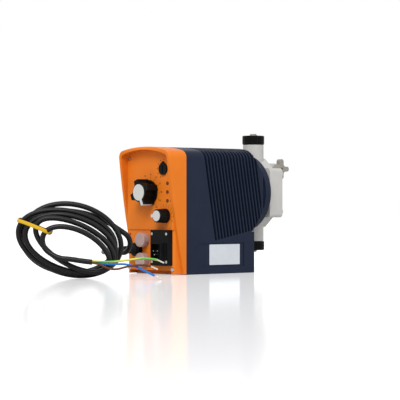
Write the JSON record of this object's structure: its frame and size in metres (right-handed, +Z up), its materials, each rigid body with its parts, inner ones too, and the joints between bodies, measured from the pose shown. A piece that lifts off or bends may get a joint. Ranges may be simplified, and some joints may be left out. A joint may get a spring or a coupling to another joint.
{
  "type": "diaphragm metering pump",
  "caption": "Solenoid diaphragm metering pump: control panel with stroke and rate knobs, finned casing, dosing head with ball valves and bleed valve, fixed mains lead.",
  "frame": {"origin": "under the middle of the pump's own bounding box, on the floor it stands on, cord left out", "axes": "+X to the right of a person facing the control panel, +Y from the panel back to the dosing head, +Z up"},
  "size_m": [0.2079, 0.4963, 0.1995],
  "materials": {
    "orange_shell": "fine spark-eroded texture, satin",
    "blue_casting": "fine texture, satin",
    "black_plastic": "moulded, satin",
    "white_plastic": "moulded, semi-gloss",
    "grey_plastic": "moulded, satin",
    "head_plastic": "moulded polypropylene",
    "clear_cap": "soft translucent plastic",
    "lens": "dark tinted lens",
    "board": "solder mask",
    "rubber_black": "moulded rubber",
    "membrane": "faced rubber",
    "zinc_steel": "zinc plated",
    "bright_steel": "ground and polished",
    "yoke_steel": "lacquered steel",
    "winding": "enamelled copper wire",
    "brass": "turned",
    "plate": "printed film, left bare",
    "cable_black": "flexible sheath",
    "core_earth": "green and yellow insulation",
    "core_neutral": "blue insulation",
    "core_live": "brown insulation",
    "tie": "paper-covered wire"
  },
  "bodies": {
    "pump_body": {"armature_bush": "brass", "ball_cages": "head_plastic", "bleed_collar": "grey_plastic", "bleed_nozzle": "grey_plastic", "board_screws": "zinc_steel", "cable_gland": "black_plastic", "cable_tie": "tie", "coil_bobbin": "black_plastic", "coil_winding": "winding", "control_board": "board", "control_socket_cap": "clear_cap", "core_blue": "core_neutral", "core_brown": "core_live", "core_green_yellow": "core_earth", "discharge_nozzle": "grey_plastic", "discharge_union_nut": "black_plastic", "dosing_head": "head_plastic", "frequency_potentiometer": "zinc_steel", "front_housing": "orange_shell", "gland_nut": "black_plastic", "head_disc": "head_plastic", "head_screws": "zinc_steel", "housing_gasket": "rubber_black", "housing_screws": "zinc_steel", "led_lenses": "lens", "level_socket_cap": "clear_cap", "mains_cable_coil": "cable_black", "mains_cable_lead": "cable_black", "mains_cable_tail": "cable_black", "mode_switch": "black_plastic", "panel_sockets": "black_plastic", "pole_piece": "yoke_steel", "push_rod_bush": "brass", "rating_plate": "plate", "rear_housing": "blue_casting", "relay_module": "black_plastic", "relay_module_screws": "zinc_steel", "relay_pins": "brass", "solenoid_yoke": "yoke_steel", "spindle_bushes": "brass", "strain_relief": "cable_black", "suction_nozzle": "grey_plastic", "suction_union_nut": "black_plastic", "union_o_rings": "rubber_black", "valve_seats": "membrane"},
    "stroke_knob": {"stroke_knob": "black_plastic", "stroke_knob_cap": "white_plastic", "stroke_spindle": "bright_steel"},
    "frequency_knob": {"frequency_knob": "black_plastic", "frequency_knob_cap": "white_plastic", "frequency_shaft": "bright_steel"},
    "mode_dial": {"mode_dial": "black_plastic"},
    "armature": {"armature": "bright_steel", "push_rod": "bright_steel", "diaphragm": "membrane", "return_spring": "bright_steel"},
    "suction_ball": {"suction_ball": "white_plastic"},
    "discharge_ball": {"discharge_ball": "white_plastic"},
    "bleed_knob": {"bleed_star_knob": "grey_plastic", "bleed_needle": "bright_steel"}
  },
  "joints": [
    {"name": "stroke_knob_turn", "type": "hinge", "parent": "pump_body", "child": "stroke_knob", "pos_m": [0, -0.11175, 0.1135], "axis": [0, -1, 0], "range_deg": [0, 280]},
    {"name": "frequency_knob_turn", "type": "hinge", "parent": "pump_body", "child": "frequency_knob", "pos_m": [0.0338, -0.11175, 0.0813], "axis": [0, -1, 0], "range_deg": [-225, 45]},
    {"name": "mode_dial_turn", "type": "hinge", "parent": "pump_body", "child": "mode_dial", "pos_m": [0.0297, -0.11175, 0.1459], "axis": [0, -1, 0], "range_deg": [-120, 120]},
    {"name": "armature_slide", "type": "slide", "parent": "pump_body", "child": "armature", "axis": [0, 1, 0], "range_m": [-0.00125, 0], "deforming": ["return_spring", "diaphragm"]},
    {"name": "suction_ball_lift", "type": "slide", "parent": "pump_body", "child": "suction_ball", "axis": [0, 0, 1], "range_m": [0, 0.0012]},
    {"name": "discharge_ball_lift", "type": "slide", "parent": "pump_body", "child": "discharge_ball", "axis": [0, 0, 1], "range_m": [0, 0.0012]},
    {"name": "bleed_knob_turn", "type": "hinge", "parent": "pump_body", "child": "bleed_knob", "pos_m": [0, 0.12725, 0.1485], "axis": [1, 0, 0], "range_deg": [0, 180]}
  ]
}
